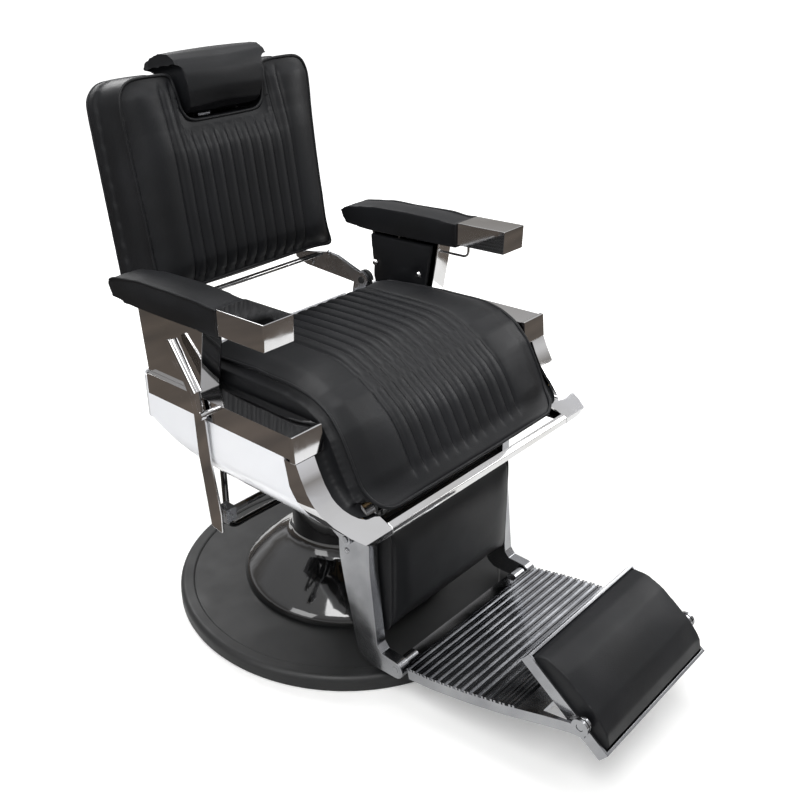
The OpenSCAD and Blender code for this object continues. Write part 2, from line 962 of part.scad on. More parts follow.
// Cast footplate: side skirts that curve in towards the pad pivots, paired raised ribs and a front window
module footplate() {
    top = 4;
    bottom = -14;
    rib_h = 4;
    rib_pitch = 230 / rib_count;
    first_rib = 12;
    half_outline = [[leg_arm_x[0] - 3, -12], [leg_arm_x[0] - 3, 24], [plate_w - 2, 24], [plate_w, 80],
        [plate_w - 3, 150], [plate_w - 10, 220], [plate_w - 22, 290], [plate_w - 27, 326]];
    inner_outline = [[168, 352], [168, 240], [178, 190], [178, -12]];
    color("lightgray")
        in_plate()
            difference() {
                union() {
                    translate([0, 0, bottom])
                        linear_extrude(top - bottom)
                            both_sides()
                                polygon([for (p = concat(half_outline, [[plate_w - 27, 352]], inner_outline))
                                    [p[0], -p[1]]]);
                    translate([0, 0, -4])
                        linear_extrude(8)
                            difference() {
                                both_sides()
                                    polygon([[0, 12], [178, 12], [178, -190], [168, -240], [168, -280],
                                        [0, -280]]);
                                translate([-118, -268])
                                    square([236, 15]);
                            }
                    intersection() {
                        for (i = [0 : rib_count - 1], side = [-1, 1])
                            translate([-plate_w, -first_rib - (i + 0.5) * rib_pitch + side * 3.2 - 1.8, 3])
                                cube([2 * plate_w, 3.6, rib_h + 1]);
                        linear_extrude(20)
                            both_sides()
                                polygon([for (p = concat(half_outline, [[0, 326], [0, -12]])) [p[0], -p[1]]]);
                    }
                    both_sides()
                        cross_pin(pad_on_plate, 14, [168, plate_w - 27]);
                    both_sides()
                        cross_pin([0, 0], 12, [150, leg_arm_x[0] - 3]);
                }
                both_sides()
                    cross_pin(pad_on_plate, rod_r + running_gap, [160, 190]);
                both_sides()
                    cross_pin([0, 0], rod_r, [149, 190]);
            }
    color("silver")
        both_sides()
            cross_pin(foot_pivot, rod_r, [150, leg_arm_x[1]]);
}

tray_y = [-56, 124];

// Cast tray of the foot pad, with an ear and a pivot pin on each side
module foot_tray() {
    half_w = foot_pad_w / 2;
    side_t = 5;
    tray_z = [-26, -4];
    color("lightgray")
        in_foot_pad() {
            difference() {
                translate([-half_w, tray_y[0], tray_z[0]])
                    cube([foot_pad_w, tray_y[1] - tray_y[0], tray_z[1] - tray_z[0]]);
                translate([-half_w + side_t, tray_y[0] + side_t, tray_z[0] + 8])
                    cube([foot_pad_w - 2 * side_t, tray_y[1] - tray_y[0] - 2 * side_t, 20]);
            }
            both_sides() {
                side_slab([half_w, 166])
                    polygon(concat(arc([0, 0], 14, 0, 180, 8), [[-18, -20], [18, -20]]));
                cross_pin([0, 0], rod_r, [half_w, plate_w - 28]);
            }
        }
}

// Cushion set in the tray
module foot_cushion() {
    half_w = foot_pad_w / 2 - 5.2;
    low = tray_y[0] + 5.2;
    high = tray_y[1] - 5.2;
    color("black")
        in_foot_pad()
            side_slab([-half_w, half_w])
                polygon([[low, -17.8], [low, 4], [low + 16, 18], [low + 50, 26], [high - 50, 26],
                    [high - 16, 18],
                    [high, 4], [high, -17.8]]);
}

// ---- recline linkage ----

// Flat link from the torque rod to the right leg arm
module recline_link() {
    rear = back_pivot + crank;
    front = leg_pivot + crank;
    slope = atan2(rear[1] - front[1], rear[0] - front[0]);
    half_h = 9;
    eye_r = 11;
    color("silver")
        mirror([1, 0, 0])
            difference() {
                side_slab(link_x)
                    polygon(concat(arc(front, eye_r, slope + 90, slope + 270, 8),
                        arc(rear, eye_r, slope - 90, slope + 90, 8)));
                cross_pin(rear, rod_r + running_gap, [link_x[0] - 1, link_x[1] + 1]);
                cross_pin(front, rod_r + 0.15, [link_x[0] - 1, link_x[1] + 1]);
            }
}

// Piston rod of the lock, ending in a slotted yoke round the torque rod
module lock_rod() {
    yoke_y = back_pivot[0] + crank[0];
    rod_start = -98;
    slot_low = 513.2;
    slot_high = 532.4;
    slot_half = rod_r + 0.45;
    color("silver")
        difference() {
            union() {
                translate([lock_x, yoke_y - 10, lock_z])
                    rotate([90, 0, 0])
                        cylinder(h = yoke_y - 10 - rod_start, r = 5);
                translate([lock_x - 9, yoke_y - 11, lock_z - 9])
                    cube([18, 22, 36.5]);
            }
            translate([lock_x - 10, yoke_y - slot_half, slot_low])
                cube([20, 2 * slot_half, slot_high - slot_low]);
        }
}

// ---- levers ----

bar_x = [347, 353];

// Flat hand lever that works the pump, bent rearwards at the top
module lift_bar() {
    color("silver")
        mirror([1, 0, 0])
            side_slab(bar_x)
                polygon([[-49, 302], [-20, 306], [-8, 400], [-2, 440], [1, 520], [4, 540], [20, 572],
                    [64, 628], [66, 640], [54, 646], [-4, 588], [-22, 548], [-28, 520], [-33, 440],
                    [-39, 400], [-50, 340]]);
}

// Clamp hub of the lever and the shaft that runs in to the pump
module lift_shaft() {
    hub_half = 13;
    color("silver")
        mirror([1, 0, 0]) {
            translate([324, lift_pivot[0] - hub_half, lift_pivot[1] - hub_half])
                cube([bar_x[0] - 324, 2 * hub_half, 2 * hub_half]);
            cross_pin(lift_pivot, rod_r, [50.5, 324]);
        }
}

lever_x = 372;

// Recline lever: a ring on its pivot and a rising neck
module recline_lever() {
    color("silver")
        mirror([1, 0, 0]) {
            cross_pin(recline_pivot, lever_pin_r, [tub_x - 2.5, lever_x + 4]);
            cross_pin(recline_pivot, lever_pin_r + 3, [lever_x - 6, lever_x + 4]);
            translate([lever_x, recline_pivot[0], recline_pivot[1]])
                rotate([-5, 0, 0])
                    cylinder(h = 46, r = 4.5, $fn = 32);
        }
}

// Round grip of the recline lever
module recline_grip() {
    color("silver")
        mirror([1, 0, 0])
            translate([lever_x, recline_pivot[0] + 4, recline_pivot[1] + 41])
                rotate([-35, 0, 0])
                    cylinder(h = 96, r = 9.5, $fn = 48);
}

base_plate();
base_rim();
base_dome();
pump_cylinder();
pump_seal();
base_bolts();
piston_column();
swivel_ring();
seat_mount();
seat_frame();
seat_beams();
seat_board();
seat_cushion();
side_panel_r();
side_panel_l();
rear_panel();
side_wall_r();
side_wall_l();
side_rail_r();
side_rail_l();
rail_cap_r();
rail_cap_l();
front_band_r();
front_band_l();
front_bar();
arm_cover_r();
arm_cover_l();
arm_lining_r();
arm_lining_l();
arm_pad_r();
arm_pad_l();
arm_cap_r();
arm_cap_l();
arm_screws();
towel_wire();
pivot_uprights();
pump_rod();
lock_barrel();
back_brackets();
torque_rod();
back_board();
back_cushion();
head_guide();
head_bar();
head_pad();
leg_arm_r();
leg_arm_l();
leg_board();
calf_pad();
footplate();
foot_tray();
foot_cushion();
recline_link();
lock_rod();
lift_bar();
lift_shaft();
recline_lever();
recline_grip();
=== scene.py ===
import json
import math

import bpy
import numpy as np
from mathutils import Matrix, Vector
from mathutils.bvhtree import BVHTree

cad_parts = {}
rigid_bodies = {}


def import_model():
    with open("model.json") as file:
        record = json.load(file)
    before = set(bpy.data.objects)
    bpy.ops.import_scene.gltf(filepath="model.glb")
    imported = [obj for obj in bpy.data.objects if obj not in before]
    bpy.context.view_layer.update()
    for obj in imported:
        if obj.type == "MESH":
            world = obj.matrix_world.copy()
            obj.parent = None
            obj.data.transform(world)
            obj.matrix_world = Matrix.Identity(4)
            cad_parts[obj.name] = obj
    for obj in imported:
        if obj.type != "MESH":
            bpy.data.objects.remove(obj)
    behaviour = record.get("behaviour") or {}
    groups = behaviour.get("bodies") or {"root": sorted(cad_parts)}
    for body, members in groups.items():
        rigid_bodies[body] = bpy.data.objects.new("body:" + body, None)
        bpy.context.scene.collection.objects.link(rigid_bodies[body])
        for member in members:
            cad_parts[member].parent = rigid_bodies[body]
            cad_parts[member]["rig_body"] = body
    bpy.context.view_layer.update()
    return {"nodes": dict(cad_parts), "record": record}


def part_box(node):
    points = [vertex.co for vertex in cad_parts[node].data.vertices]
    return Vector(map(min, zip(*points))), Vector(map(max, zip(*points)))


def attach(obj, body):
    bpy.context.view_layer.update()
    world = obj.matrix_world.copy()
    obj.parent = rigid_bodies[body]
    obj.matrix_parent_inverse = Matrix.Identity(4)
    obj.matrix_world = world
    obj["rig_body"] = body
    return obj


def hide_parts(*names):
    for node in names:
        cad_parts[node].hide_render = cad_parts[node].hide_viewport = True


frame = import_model()
nodes = frame["nodes"]
slotOf = {part["node"]: part["material_slot"] for part in frame["record"]["subparts"]}
jointPlace = {joint["name"]: joint.get("pos_m") for joint in frame["record"]["behaviour"]["joints"]}
scene = bpy.context.scene
print("frame loaded:", len(nodes), "nodes")

# camera for the main view
camera = {
    "place": (-1.2100, -1.1977, 1.2478),
    "turn": -42.008,
    "tilt": 22.503,
    "roll": -3.308,
    "lens": 42.95,
    "shift": (0.1421, -0.0704),
}
cameraData = bpy.data.cameras.new("studioCamera")
cameraData.lens = camera["lens"]
cameraData.shift_x, cameraData.shift_y = camera["shift"]
cameraData.clip_start = 0.05
cameraObject = bpy.data.objects.new("studioCamera", cameraData)
scene.collection.objects.link(cameraObject)
cameraObject.matrix_world = (
    Matrix.Translation(camera["place"])
    @ Matrix.Rotation(math.radians(camera["turn"]), 4, "Z")
    @ Matrix.Rotation(math.radians(90 - camera["tilt"]), 4, "X")
    @ Matrix.Rotation(math.radians(camera["roll"]), 4, "Z")
)
scene.camera = cameraObject


# small tools for meshes
def pick(*pieces):
    # only these are selected, and the first is active
    bpy.ops.object.select_all(action="DESELECT")
    for piece in pieces:
        piece.select_set(True)
    bpy.context.view_layer.objects.active = pieces[0]


def readPoints(piece):
    points = np.zeros(len(piece.data.vertices) * 3)
    piece.data.vertices.foreach_get("co", points)
    return points.reshape(-1, 3)


def readNormals(piece):
    normals = np.zeros(len(piece.data.vertices) * 3)
    piece.data.vertices.foreach_get("normal", normals)
    return normals.reshape(-1, 3)


def writePoints(piece, points):
    piece.data.vertices.foreach_set("co", np.ascontiguousarray(points, dtype=float).ravel())
    piece.data.update()


def smoothStep(value, low, high):
    t = np.clip((value - low) / (high - low), 0, 1)
    return t * t * (3 - 2 * t)


def applyModifiers(piece):
    pick(piece)
    for modifier in list(piece.modifiers):
        bpy.ops.object.modifier_apply(modifier=modifier.name)


def copyOfNodes(names, newName):
    # the CAD meshes as one new piece, with the loose triangles merged
    copies = []
    for name in names:
        copied = bpy.data.objects.new(newName, nodes[name].data.copy())
        copied.data.materials.clear()
        scene.collection.objects.link(copied)
        copies.append(copied)
    pick(*copies)
    if len(copies) > 1:
        bpy.ops.object.join()
    piece = bpy.context.view_layer.objects.active
    if piece.data.has_custom_normals:
        bpy.ops.mesh.customdata_custom_splitnormals_clear()
    bpy.ops.object.mode_set(mode="EDIT")
    bpy.ops.mesh.select_all(action="SELECT")
    bpy.ops.mesh.remove_doubles(threshold=0.00002)
    bpy.ops.object.mode_set(mode="OBJECT")
    for layer in list(piece.data.uv_layers):
        piece.data.uv_layers.remove(layer)
    return piece


# finishes, one maker for each kind of surface
def toLinear(hexColour):
    parts = [int(hexColour[i : i + 2], 16) / 255 for i in (1, 3, 5)]
    return tuple(c / 12.92 if c <= 0.04045 else ((c + 0.055) / 1.055) ** 2.4 for c in parts) + (1,)


def addNode(tree, kind, inputs=None, **settings):
    node = tree.nodes.new(kind)
    for name, value in settings.items():
        setattr(node, name, value)
    for socket, value in (inputs or {}).items():
        if isinstance(value, bpy.types.NodeSocket):
            tree.links.new(value, node.inputs[socket])
        else:
            node.inputs[socket].default_value = value
    return node


def startMaterial(name, **sockets):
    # a principled shader with its constant sockets, and the object's own coordinates in metres
    material = bpy.data.materials.new(name)
    material.use_nodes = True
    tree = material.node_tree
    tree.nodes.clear()
    shader = addNode(tree, "ShaderNodeBsdfPrincipled", {k.replace("_", " "): v for k, v in sockets.items()})
    addNode(tree, "ShaderNodeOutputMaterial", {"Surface": shader.outputs["BSDF"]})
    place = addNode(tree, "ShaderNodeTexCoord").outputs["Object"]
    return material, tree, shader, place


def grained(tree, place, size, detail):
    # the height of a fine noise of the given size in metres
    noise = addNode(tree, "ShaderNodeTexNoise", {"Vector": place, "Scale": 1 / size, "Detail": detail})
    return noise.outputs["Fac"]


def drawnOut(tree, place, stretch):
    # coordinates stretched along one axis, as drawing or linishing leaves its lines
    return addNode(tree, "ShaderNodeMapping", {"Vector": place, "Scale": stretch}).outputs["Vector"]


def varied(tree, place, size, low, high, detail=4.0, stretch=None):
    # a noise of the given real size in metres, as a value from low to high
    if stretch:
        place = drawnOut(tree, place, stretch)
    spread = addNode(
        tree,
        "ShaderNodeMapRange",
        {
            "Value": grained(tree, place, size, detail),
            "From Min": 0.3,
            "From Max": 0.7,
            "To Min": low,
            "To Max": high,
        },
    )
    return spread.outputs["Result"]


def tinted(tree, amount, first, second):
    mixed = addNode(tree, "ShaderNodeMix", {"Factor": amount}, data_type="RGBA")
    mixed.inputs[6].default_value = toLinear(first)
    mixed.inputs[7].default_value = toLinear(second)
    return mixed.outputs[2]


def roughened(tree, shader, height, strength, distance):
    # a fine relief, its depth in metres
    bump = addNode(tree, "ShaderNodeBump", {"Strength": strength, "Distance": distance, "Height": height})
    tree.links.new(bump.outputs["Normal"], shader.inputs["Normal"])


def surfaced(tree, shader, place, gloss, tint):
    # gloss is (size, low, high, detail) and tint is (size, first, second), both uneven over the piece
    tree.links.new(varied(tree, place, *gloss), shader.inputs["Roughness"])
    size, first, second = tint
    colour = tinted(tree, varied(tree, place, size, 0.0, 1.0), first, second)
    tree.links.new(colour, shader.inputs["Base Color"])


def makeLeatherette():
    # calendered PVC on cloth, embossed with a fine pebble: near black, satin, with a cool grey sheen
    material, tree, shader, place = startMaterial("blackLeatherette", IOR=1.5, Specular_IOR_Level=0.26)
    pebble = addNode(
        tree,
        "ShaderNodeTexVoronoi",
        {"Vector": place, "Scale": 1 / 0.0016, "Smoothness": 0.6},
        feature="SMOOTH_F1",
    )
    crease = grained(tree, place, 0.009, 6.0)
    relief = addNode(tree, "ShaderNodeMath", {0: pebble.outputs["Distance"], 1: crease}, operation="ADD")
    roughened(tree, shader, relief.outputs[0], 0.32, 0.00035)
    surfaced(tree, shader, place, (0.07, 0.44, 0.54), (0.12, "#0d0e10", "#141518"))
    return material


def makeChrome():
    # bright nickel-chrome plate on pressed steel: a mirror with faint waves and wiped smudges
    material, tree, shader, place = startMaterial("mirrorChromePlate", Metallic=1.0)
    roughened(tree, shader, grained(tree, place, 0.07, 1.0), 0.25, 0.0006)
    surfaced(tree, shader, place, (0.03, 0.035, 0.085, 6.0), (0.2, "#c9c8c6", "#d6d6d8"))
    return material


def makeCastAluminium():
    # sand-cast aluminium, linished and buffed: bright, with fine polishing lines and duller patches
    material, tree, shader, place = startMaterial("buffedCastAluminium", Metallic=1.0)
    lines = grained(tree, drawnOut(tree, place, (0.25, 1.0, 1.0)), 0.0018, 5.0)
    roughened(tree, shader, lines, 0.08, 0.0002)
    surfaced(tree, shader, place, (0.04, 0.13, 0.26, 3.0), (0.06, "#8f9093", "#a6a7a9"))
    return material


def makeWhiteEnamel():
    # sprayed and baked white enamel: cool white, deep gloss, the faintest orange peel
    material, tree, shader, place = startMaterial(
        "bakedWhiteEnamel", IOR=1.5, Coat_Weight=0.6, Coat_Roughness=0.05, Coat_IOR=1.5
    )
    roughened(tree, shader, grained(tree, place, 0.004, 2.0), 0.06, 0.0003)
    surfaced(tree, shader, place, (0.09, 0.14, 0.22), (0.3, "#e6e8ec", "#eff0f3"))
    return material


def makePaint(name, first, second, rough, grainSize, strength, coat=0.0):
    # sprayed paint or powder coat: even colour, its gloss and orange peel set for each
    material, tree, shader, place = startMaterial(
        name, IOR=1.5, Coat_Weight=coat, Coat_Roughness=0.04, Coat_IOR=1.5
    )
    roughened(tree, shader, grained(tree, place, grainSize, 3.0), strength, 0.0003)
    surfaced(tree, shader, place, (0.06, *rough, 5.0), (0.1, first, second))
    return material


def makePlatedSteel(name, first, second, rough):
    # turned or pressed steel under a thin plate: grey, with drawn lines
    material, tree, shader, place = startMaterial(name, Metallic=1.0)
    lines = grained(tree, drawnOut(tree, place, (1.0, 0.15, 1.0)), 0.0015, 4.0)
    roughened(tree, shader, lines, 0.12, 0.0002)
    surfaced(tree, shader, place, (0.03, *rough, 5.0), (0.05, first, second))
    return material


def makePlywood():
    # rotary-cut birch face: pale tan with long, low-contrast growth lines
    material, tree, shader, place = startMaterial("birchPlywood", IOR=1.45)
    figure = varied(tree, place, 0.006, 0.0, 1.0, 6.0, stretch=(0.06, 1.0, 1.0))
    tree.links.new(tinted(tree, figure, "#a98658", "#c7a877"), shader.inputs["Base Color"])
    tree.links.new(varied(tree, place, 0.02, 0.5, 0.68), shader.inputs["Roughness"])
    roughened(tree, shader, figure, 0.15, 0.0003)
    return material


finishes = {
    "leather": makeLeatherette(),
    "chrome": makeChrome(),
    "cast_alu": makeCastAluminium(),
    "white_enamel": makeWhiteEnamel(),
    "base_satin": makePaint("satinBlackPowderCoat", "#08090a", "#0d0e0f", (0.46, 0.58), 0.0012, 0.25),
    "gloss_black": makePaint("glossBlackEnamel", "#060607", "#0a0a0b", (0.08, 0.14), 0.006, 0.05, 0.9),
    "frame_paint": makePaint("mattBlackFramePaint", "#161718", "#1e1f20", (0.5, 0.62), 0.0015, 0.2),
    "rubber": makePaint("mouldedNitrileRubber", "#101010", "#161616", (0.65, 0.8), 0.001, 0.3),
    "steel": makePlatedSteel("zincPlatedSteel", "#9b9da1", "#b0b1b4", (0.2, 0.34)),
    "bronze": makePlatedSteel("sinteredBronze", "#8d6b3c", "#a17f4c", (0.32, 0.5)),
    "board": makePlywood(),
}
for name, node in nodes.items():
    node.data.materials.clear()
    node.data.materials.append(finishes[slotOf[name]])
print("finishes made:", len(finishes))


def finishPiece(piece, body, slotName, standsFor=()):
    piece.data.materials.clear()
    piece.data.materials.append(finishes[slotName])
    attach(piece, body)
    if standsFor:
        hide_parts(*standsFor)
    return piece


# padded pieces: covers swollen by their filling
def evened(piece, values, rounds):
    # values at the vertices averaged along the edges: a taut cover shows the swell, not the crumples
    ends = np.zeros(len(piece.data.edges) * 2, dtype=np.int64)
    piece.data.edges.foreach_get("vertices", ends)
    first, second = ends.reshape(-1, 2).T
    count = len(values)
    shared = np.bincount(ends, minlength=count)[:, None]
    for _ in range(rounds):
        total = np.column_stack([
            np.bincount(first, values[second, axis], count) + np.bincount(second, values[first, axis], count)
            for axis in range(3)
        ])
        values = 0.3 * values + 0.7 * total / shared
    return values


cover = {
    "frames": 20, "quality": 4, "mass": 0.3, "stretch": 12, "bend": 0.6, "evenRounds": 30, "smoothRounds": 4,
}


def inflate(piece, voxel, cap, shrink, held, pressure=4.0):
    # remesh, draw in a little, then let cloth under pressure swell it up to the cap;
    # what held(points, normals) picks out stays on its board
    remesh = piece.modifiers.new("remesh", "REMESH")
    remesh.mode = "VOXEL"
    remesh.voxel_size = voxel
    applyModifiers(piece)
    rest, normals = readPoints(piece), readNormals(piece)
    fixed = held(rest, normals).astype(float)
    start = rest - normals * shrink * (1 - fixed)[:, None]
    writePoints(piece, start)
    group = piece.vertex_groups.new(name="held")
    for index in np.nonzero(fixed > 0.5)[0]:
        group.add([int(index)], 1.0, "REPLACE")
    cloth = piece.modifiers.new("cloth", "CLOTH")
    cloth.settings.quality = cover["quality"]
    cloth.settings.mass = cover["mass"]
    cloth.settings.tension_stiffness = cover["stretch"]
    cloth.settings.compression_stiffness = cover["stretch"]
    cloth.settings.bending_stiffness = cover["bend"]
    cloth.settings.use_pressure = True
    cloth.settings.uniform_pressure_force = pressure
    cloth.settings.vertex_group_mass = "held"
    cloth.settings.effector_weights.gravity = 0
    cloth.collision_settings.use_collision = False
    cloth.point_cache.frame_start, cloth.point_cache.frame_end = 1, cover["frames"]
    scene.frame_start, scene.frame_end = 1, cover["frames"]
    for step in range(1, cover["frames"] + 1):
        scene.frame_set(step)
    swollen = piece.evaluated_get(bpy.context.evaluated_depsgraph_get()).data
    points = np.zeros(len(swollen.vertices) * 3)
    swollen.vertices.foreach_get("co", points)
    moved = points.reshape(-1, 3) - start
    piece.modifiers.remove(cloth)
    scene.frame_set(1)
    length = np.linalg.norm(moved, axis=1, keepdims=True)
    moved *= np.minimum(1, cap / np.maximum(length, 1e-9))
    print("  swelled", piece.name, "up to", round(float(length.max()) * 1000, 1), "mm")
    moved = evened(piece, moved, cover["evenRounds"])
    writePoints(piece, start + moved)
    piece.vertex_groups.clear()
    smooth = piece.modifiers.new("smooth", "SMOOTH")
    smooth.factor, smooth.iterations = 0.5, cover["smoothRounds"]
    finer = piece.modifiers.new("finer", "SUBSURF")
    finer.levels = finer.render_levels = 1
    applyModifiers(piece)
    bpy.ops.object.shade_smooth()
    return piece


def fluteHeight(across, sewn):
    # height of the sewn flutes at a distance across the cushion, plain beyond the outer seams
    pitch, rise = sewn["pitch"], sewn["rise"]
    half = (sewn["seams"] - 1) / 2 * pitch
    phase = np.mod(across + half, pitch) / pitch
    flute = rise * (1 - np.abs(2 * phase - 1) ** 2.4)
    margin = rise * (1 - np.exp(-np.maximum(np.abs(across) - half, 0) / sewn["marginFade"]))
    height = np.where(np.abs(across) < half, flute, margin)
    toSeam = np.minimum(np.minimum(phase, 1 - phase) * pitch, 1)
    toSeam = np.where(np.abs(across) < half, toSeam, np.abs(across) - half)
    return height - sewn["dip"] * np.exp(-((toSeam / sewn["seamWide"]) ** 2))


def resampled(points, spacing, closed=False):
    points = [Vector(p) for p in points]
    if closed:
        points.append(points[0].copy())
    steps = [0.0]
    for first, second in zip(points, points[1:]):
        steps.append(steps[-1] + (second - first).length)
    count = max(4, int(steps[-1] / spacing))
    marks = np.linspace(0, steps[-1], count + 1)
    if closed:
        marks = marks[:-1]
    flat = np.array([list(p) for p in points])
    return np.column_stack([np.interp(marks, steps, flat[:, axis]) for axis in range(3)])


def relaxed(points, rounds, closed=False):
    points = points.copy()
    for _ in range(rounds):
        before, after = np.roll(points, 1, axis=0), np.roll(points, -1, axis=0)
        mixed = (before + 2 * points + after) / 4
        if not closed:
            mixed[0], mixed[-1] = points[0], points[-1]
        points = mixed
    return points


def tube(name, points, radius, closed):
    # a round tube along the points, as a mesh
    line = bpy.data.curves.new(name, "CURVE")
    line.dimensions = "3D"
    line.bevel_depth = radius
    line.bevel_resolution = 3
    line.use_fill_caps = not closed
    spline = line.splines.new("POLY")
    spline.points.add(len(points) - 1)
    spline.points.foreach_set("co", np.column_stack([points, np.ones(len(points))]).ravel())
    spline.use_cyclic_u = closed
    piece = bpy.data.objects.new(name, line)
    scene.collection.objects.link(piece)
    pick(piece)
    bpy.ops.object.convert(target="MESH")
    piece = bpy.context.view_layer.objects.active
    bpy.ops.object.mode_set(mode="EDIT")
    bpy.ops.mesh.select_all(action="SELECT")
    bpy.ops.mesh.remove_doubles(threshold=0.00001)
    bpy.ops.mesh.normals_make_consistent(inside=False)
    bpy.ops.object.mode_set(mode="OBJECT")
    bpy.ops.object.shade_smooth()
    return piece


piping = {"spacing": 0.006, "proud": 0.3, "relaxRounds": 5}


def layPiping(name, edge, cushion, body, radius=0.0032, closed=False):
    # a covered welt, pulled to the nearest place on the swollen cushion
    tree = BVHTree.FromObject(cushion, bpy.context.evaluated_depsgraph_get())
    laid = []
    for point in resampled(edge, piping["spacing"], closed):
        place, normal, _, _ = tree.find_nearest(Vector(point))
        laid.append(place + normal * radius * piping["proud"])
    laid = relaxed(np.array([list(p) for p in laid]), piping["relaxRounds"], closed)
    return finishPiece(tube(name, laid, radius, closed), body, "leather")


# seat cushion
seat = {
    "voxel": 0.00538, "cap": 0.012, "shrink": 0.004, "pressure": 2.5,
    "seams": 12, "pitch": 0.0269, "rise": 0.0045, "dip": 0.0036, "seamWide": 0.0027, "marginFade": 0.016,
    "fluteFoot": (0.430, 0.462), "fluteRear": (0.070, 0.096), "fluteSide": (0.215, 0.25),
    "half": 0.262, "corner": 0.046, "cornerTop": 0.458,
}
seatCushion = copyOfNodes(["seat_cushion"], "seatCushion")
inflate(
    seatCushion,
    seat["voxel"],
    seat["cap"],
    seat["shrink"],
    pressure=seat["pressure"],
    held=lambda p, n: ((n[:, 2] < -0.3) & (p[:, 2] < 0.56)) | ((n[:, 1] > 0.3) & (p[:, 1] < -0.19)),
)
points, normals = readPoints(seatCushion), readNormals(seatCushion)
shown = smoothStep(normals[:, 2] - normals[:, 1], 0.2, 0.7) * smoothStep(points[:, 2], *seat["fluteFoot"])
shown *= 1 - smoothStep(points[:, 1], *seat["fluteRear"])
shown *= 1 - smoothStep(np.abs(points[:, 0]), *seat["fluteSide"])
height = fluteHeight(points[:, 0], seat)
writePoints(seatCushion, points + normals * (height * shown)[:, None])
finishPiece(seatCushion, "seat", "leather", ["seat_cushion"])
# the welt runs forward along the side, down the front and round the lower corners: side points are (y, z)
seatSide = [
    (0.100, 0.545), (0.110, 0.572), (0.100, 0.586), (0.080, 0.591), (-0.060, 0.592), (-0.150, 0.590),
    (-0.198, 0.583), (-0.232, 0.568), (-0.260, 0.534), (-0.284, 0.486), (-0.302, 0.450),
]
turns = [math.radians(angle) for angle in (15, 35, 55, 75, 90)]
lowerCorner = [
    (
        seat["half"] - seat["corner"] * (1 - math.cos(turn)),
        seat["cornerTop"] - seat["corner"] * math.sin(turn),
    )
    for turn in turns
]
loop = [(seat["half"], y, z) for y, z in seatSide]
loop += [(x, -0.306 - (0.450 - z) * 0.86, z) for x, z in lowerCorner]
loop += [(0.12, -0.338, 0.414)]
loop += [(-x, y, z) for x, y, z in reversed(loop)]
layPiping("seatPiping", loop, seatCushion, "seat")
print("seat cushion done")

# back cushion and its covered board
back = {
    "lean": 8.5, "foot": (0.0, 0.233, 0.628), "wide": 0.494, "high": 0.428, "thick": 0.080,
    "voxel": 0.00538, "cap": 0.022, "shrink": 0.006,
    "seams": 12, "pitch": 0.0269, "rise": 0.0045, "dip": 0.0032, "seamWide": 0.0027, "marginFade": 0.016,
    "board": 0.025, "corner": 0.046, "notchHalf": 0.112, "notchDeep": 0.092,
    "fluteFoot": (0.012, 0.045), "fluteSide": (0.2, 0.235),
}
backFrame = Matrix.Translation(back["foot"]) @ Matrix.Rotation(math.radians(-back["lean"]), 4, "X")
backInverse = np.array(backFrame.inverted())


def toBack(points):
    return points @ backInverse[:3, :3].T + backInverse[:3, 3]


backCushion = copyOfNodes(["back_cushion", "back_board"], "backCushion")
backThick = back["thick"] + back["board"]
inflate(
    backCushion,
    back["voxel"],
    back["cap"],
    back["shrink"],
    lambda p, n: toBack(p)[:, 1] > backThick - 0.030,
)
points, normals = readPoints(backCushion), readNormals(backCushion)
local = toBack(points)
facing = -(normals @ backInverse[:3, :3].T)[:, 1]
shown = smoothStep(facing, 0.3, 0.75) * smoothStep(local[:, 2], *back["fluteFoot"])
inNotch = np.abs(local[:, 0]) < back["notchHalf"]
topLimit = np.where(inNotch, back["high"] - back["notchDeep"], back["high"])
shown *= 1 - smoothStep(local[:, 2], topLimit - 0.045, topLimit - 0.016)
shown *= 1 - smoothStep(np.abs(local[:, 0]), *back["fluteSide"])
height = fluteHeight(local[:, 0], back)
writePoints(backCushion, points + normals * (height * shown)[:, None])
finishPiece(backCushion, "back", "leather", ["back_cushion", "back_board"])


def cornerArc(x, z, radius):
    # a quarter turn from facing sideways to facing up
    angles = [math.radians(15 * step) for step in range(7)]
    return [(x + radius * math.cos(angle), z + radius * math.sin(angle)) for angle in angles]


# the back's outline in its own axes, with the notch for the pillow in its top edge
edgeX, top, corner = back["wide"] / 2, back["high"], back["corner"]
rightHalf = [(0.0, 0.0), (edgeX - 0.02, 0.0), (edgeX, 0.02)] + cornerArc(edgeX - corner, top - corner, corner)
rightHalf += [
    (0.118, top - 0.002), (0.108, top - 0.014), (0.100, top - 0.070), (0.092, top - 0.089),
    (0.0, top - back["notchDeep"]),
]
outline = rightHalf + [(-x, z) for x, z in reversed(rightHalf[1:-1])]
for name, depth in (("backPipingFront", 0.0), ("backPipingRear", backThick)):
    edge = [backFrame @ Vector((x, depth, z)) for x, z in outline]
    layPiping(name, edge, backCushion, "back", closed=True)
print("back cushion done")

# head pillow
head = {"voxel": 0.0045, "cap": 0.012, "shrink": 0.005}
headPillow = copyOfNodes(["head_pad"], "headPillow")
inflate(headPillow, head["voxel"], head["cap"], head["shrink"], lambda p, n: toBack(p)[:, 1] > 0.075)
finishPiece(headPillow, "headrest", "leather", ["head_pad"])
print("head pillow done")

